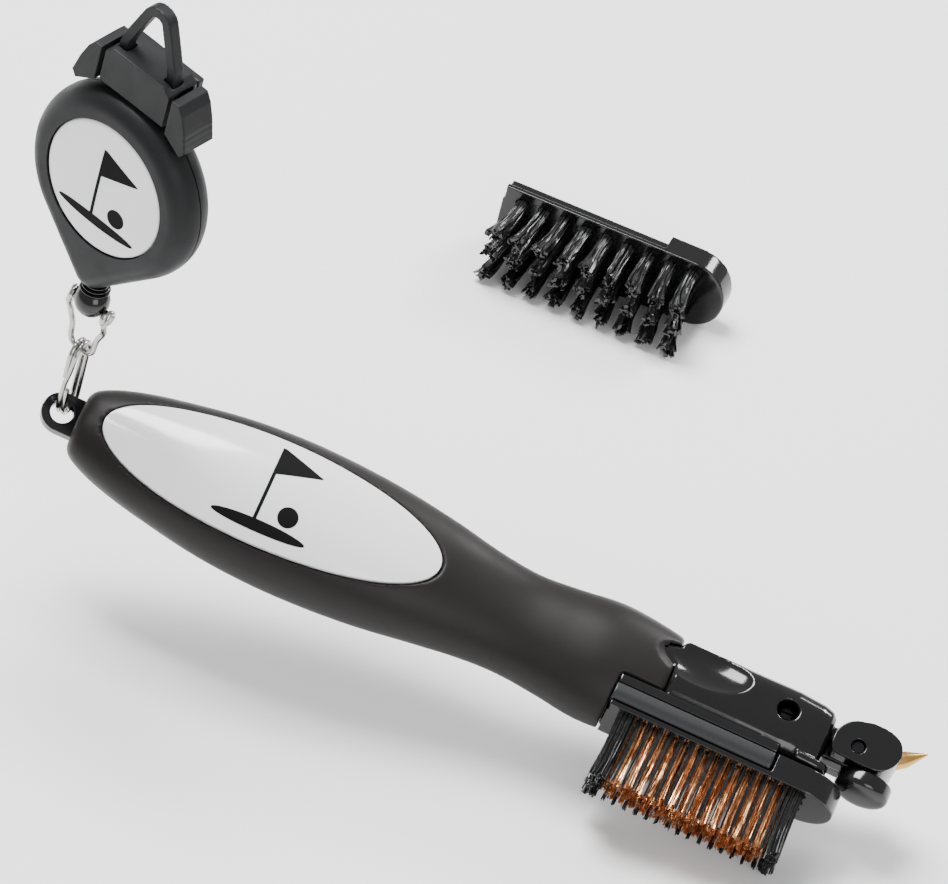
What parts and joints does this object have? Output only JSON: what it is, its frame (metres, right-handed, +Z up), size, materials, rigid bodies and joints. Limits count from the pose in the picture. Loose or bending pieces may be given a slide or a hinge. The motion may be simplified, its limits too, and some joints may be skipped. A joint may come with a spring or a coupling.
{
  "type": "golf club groove brush",
  "caption": "Hanging club groove brush: clip-on retractor reel, bail and split ring, soft grip handle with slide-on bristle head and fold-out brass pick, and a spare nylon head.",
  "frame": {"origin": "inside of the clip loop's crown, where the strap that holds the object bears", "axes": "+Z up, +X horizontally along the handle from its lug to its head, -Y towards the side that the badges face"},
  "size_m": [0.2103, 0.175, 0.1512],
  "materials": {
    "case_plastic": "fine matte grain, charcoal",
    "gloss_black": "polished",
    "soft_rubber": "soft-touch satin",
    "white_badge": "satin",
    "nickel": "bright nickel plate",
    "steel": "satin",
    "brass": "machined",
    "bronze_wire": "phosphor bronze wire tips",
    "nylon": "nylon filament",
    "cord": "braided"
  },
  "bodies": {
    "reel": {"reel_front_shell": "case_plastic", "reel_back_shell": "case_plastic", "reel_badge": "white_badge", "spool_axle_screw": "steel", "mainspring": "steel", "exit_bush": "steel", "clip_housing": "case_plastic", "clip_back_plate": "case_plastic", "clip_rivet_left": "steel", "clip_rivet_right": "steel", "latch_spring": "steel", "clip_loop": "case_plastic"},
    "left_button": {"pinch_button_left": "case_plastic"},
    "right_button": {"pinch_button_right": "case_plastic"},
    "spool": {"spool": "gloss_black", "wound_cord": "cord"},
    "cord_end": {"cord_lead": "cord", "cord_end_ball": "gloss_black", "bail_pin": "steel"},
    "bail": {"wire_bail": "nickel"},
    "split_ring": {"split_ring": "nickel"},
    "handle": {"handle_core": "gloss_black", "soft_grip": "soft_rubber", "handle_badge": "white_badge", "head_screw": "steel", "pick_pivot_pin": "steel"},
    "pick": {"pick_arm": "gloss_black", "pick_knob": "gloss_black", "brass_pick": "brass"},
    "brush_head": {"brush_block": "gloss_black", "nylon_bristles": "nylon", "bronze_bristles": "bronze_wire"},
    "spare_head": {"spare_block": "gloss_black", "spare_nylon_bristles": "nylon"}
  },
  "joints": [
    {"name": "left_button_press", "type": "slide", "parent": "reel", "child": "left_button", "axis": [0.8918, -0.4524, 0], "range_m": [0, 0.0013], "stiffness_N_per_m": 500, "springref_m": -0.001, "deforming": ["latch_spring"]},
    {"name": "right_button_press", "type": "slide", "parent": "reel", "child": "right_button", "axis": [-0.8918, 0.4524, 0], "range_m": [0, 0.0013], "stiffness_N_per_m": 500, "springref_m": -0.001},
    {"name": "spool_turn", "type": "hinge", "parent": "reel", "child": "spool", "pos_m": [0, 0, -0.0446], "axis": [0.4524, 0.8918, 0], "range_deg": [0, 2530]},
    {"name": "cord_pull", "type": "slide", "parent": "reel", "child": "cord_end", "axis": [0, 0, -1], "range_m": [0, 0.6], "stiffness_N_per_m": 1.2, "springref_m": -1.25, "deforming": ["cord_lead"]},
    {"name": "bail_swing", "type": "hinge", "parent": "cord_end", "child": "bail", "pos_m": [0, 0, -0.0801], "axis": [-0.8918, 0.4524, 0], "range_deg": [-50, 50]},
    {"name": "split_ring_swing", "type": "hinge", "parent": "bail", "child": "split_ring", "pos_m": [0, 0, -0.09203], "axis": [-0.8918, 0.4524, 0], "range_deg": [-40, 40]},
    {"name": "handle_swing", "type": "hinge", "parent": "split_ring", "child": "handle", "pos_m": [-0.00019, -0.00304, -0.10798], "axis": [0.1154, -0.4446, 0.8882], "range_deg": [-100, 8]},
    {"name": "pick_flip", "type": "hinge", "parent": "handle", "child": "pick", "pos_m": [0.17572, 0, -0.1293], "axis": [0.1154, -0.4446, 0.8882], "range_deg": [-4, 88]},
    {"name": "brush_head_slide", "type": "slide", "parent": "handle", "child": "brush_head", "axis": [0.9917, 0, -0.1288], "range_m": [0, 0.054]},
    {"name": "spare_head_lift", "type": "slide", "parent": "reel", "child": "spare_head", "axis": [0, 0, 1], "range_m": [0, 0.05]}
  ],
  "couplings": [
    {"joint": "spool_turn", "follows": "cord_pull", "rad_per_m": 73.5}
  ]
}
